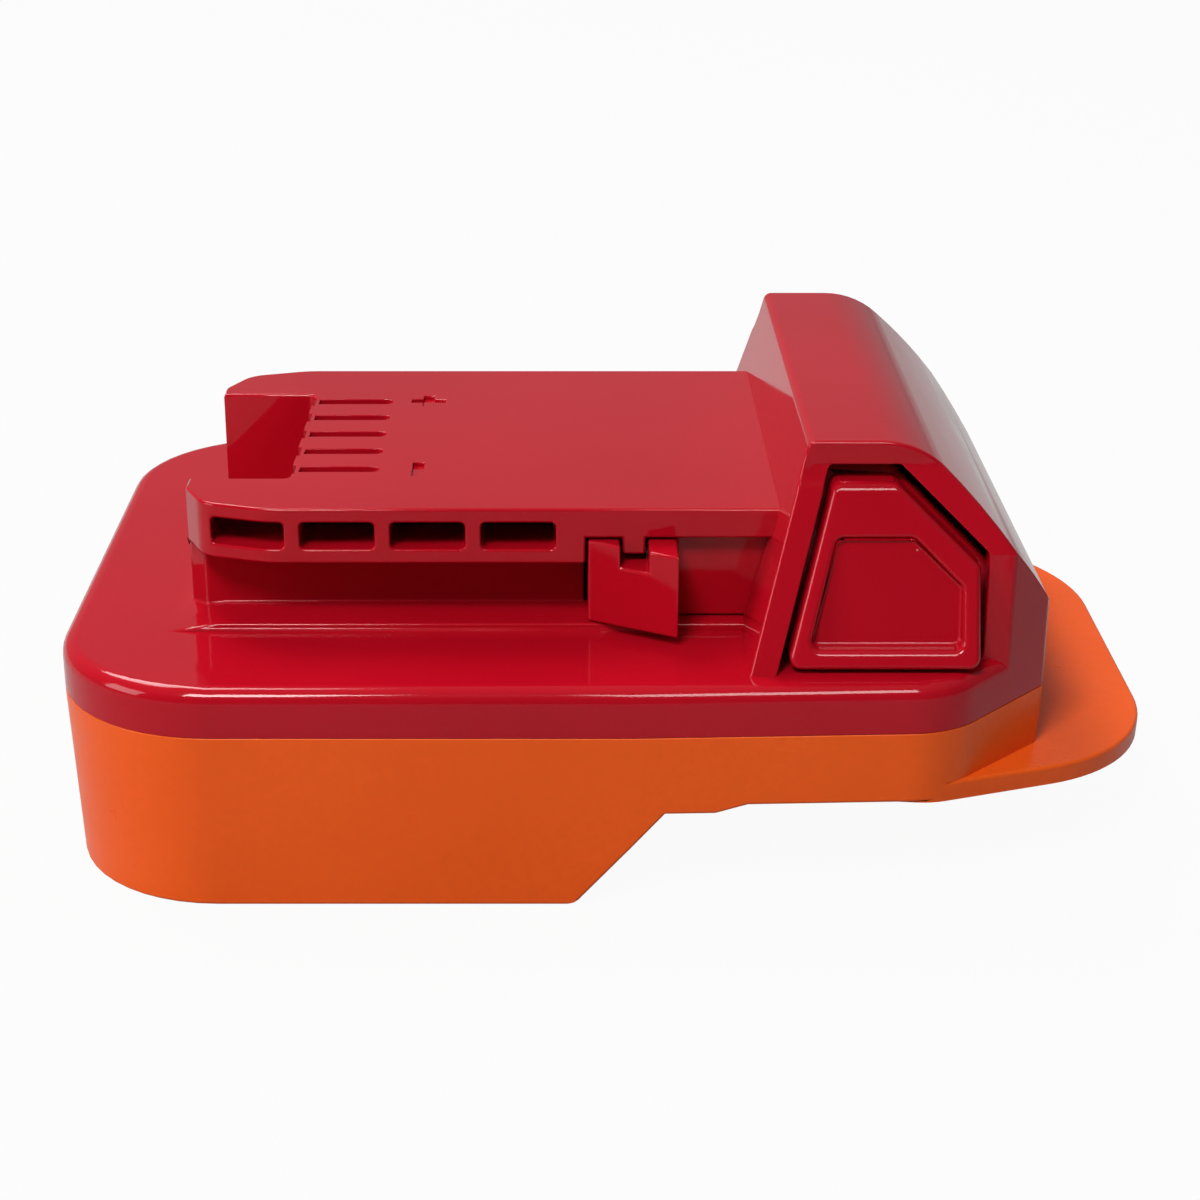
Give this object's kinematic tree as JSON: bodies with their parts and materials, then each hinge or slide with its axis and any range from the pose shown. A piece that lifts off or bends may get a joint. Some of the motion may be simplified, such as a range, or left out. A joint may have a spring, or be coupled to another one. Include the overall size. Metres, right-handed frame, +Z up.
{
  "type": "tool battery adapter",
  "caption": "Slide-on tool battery adapter: hollow top rail with contact slots and spring side latches, sloped hump, drafted box with a battery channel below, flat rounded tongue behind.",
  "frame": {"origin": "centre of the bounding box on the plane it stands on", "axes": "+X from the rail's nose to the tongue, +Y across, +Z up from the base to the rail"},
  "size_m": [0.123, 0.0854, 0.0495],
  "materials": {
    "red_housing": "polished moulding",
    "red_button": "polished moulding",
    "orange_housing": "satin moulding",
    "black_plastic": "fine moulded grain",
    "contact_brass": "stamped strip",
    "spring_steel": "drawn wire",
    "screw_steel": "zinc plated",
    "red_insulation": "extruded insulation",
    "black_insulation": "extruded insulation"
  },
  "bodies": {
    "housing": {"upper_housing": "red_housing", "lower_housing": "orange_housing", "left_latch_spring": "spring_steel", "right_latch_spring": "spring_steel", "latch_carrier": "black_plastic", "carrier_screws": "screw_steel", "tool_terminal_block": "black_plastic", "positive_clip": "contact_brass", "negative_clip": "contact_brass", "tool_block_screws": "screw_steel", "battery_terminal_block": "black_plastic", "positive_blade": "contact_brass", "negative_blade": "contact_brass", "battery_block_screws": "screw_steel", "positive_wire": "red_insulation", "negative_wire": "black_insulation", "positive_wire_sleeves": "red_insulation", "negative_wire_sleeves": "black_insulation", "housing_screws": "screw_steel"},
    "left_latch": {"left_latch_button": "red_button"},
    "right_latch": {"right_latch_button": "red_button"}
  },
  "joints": [
    {"name": "left_latch_press", "type": "slide", "parent": "housing", "child": "left_latch", "axis": [0, 1, 0], "range_m": [0, 0.0045], "stiffness_N_per_m": 600, "springref_m": -0.003, "deforming": ["left_latch_spring"]},
    {"name": "right_latch_press", "type": "slide", "parent": "housing", "child": "right_latch", "axis": [0, -1, 0], "range_m": [0, 0.0045], "stiffness_N_per_m": 600, "springref_m": -0.003, "deforming": ["right_latch_spring"]}
  ]
}
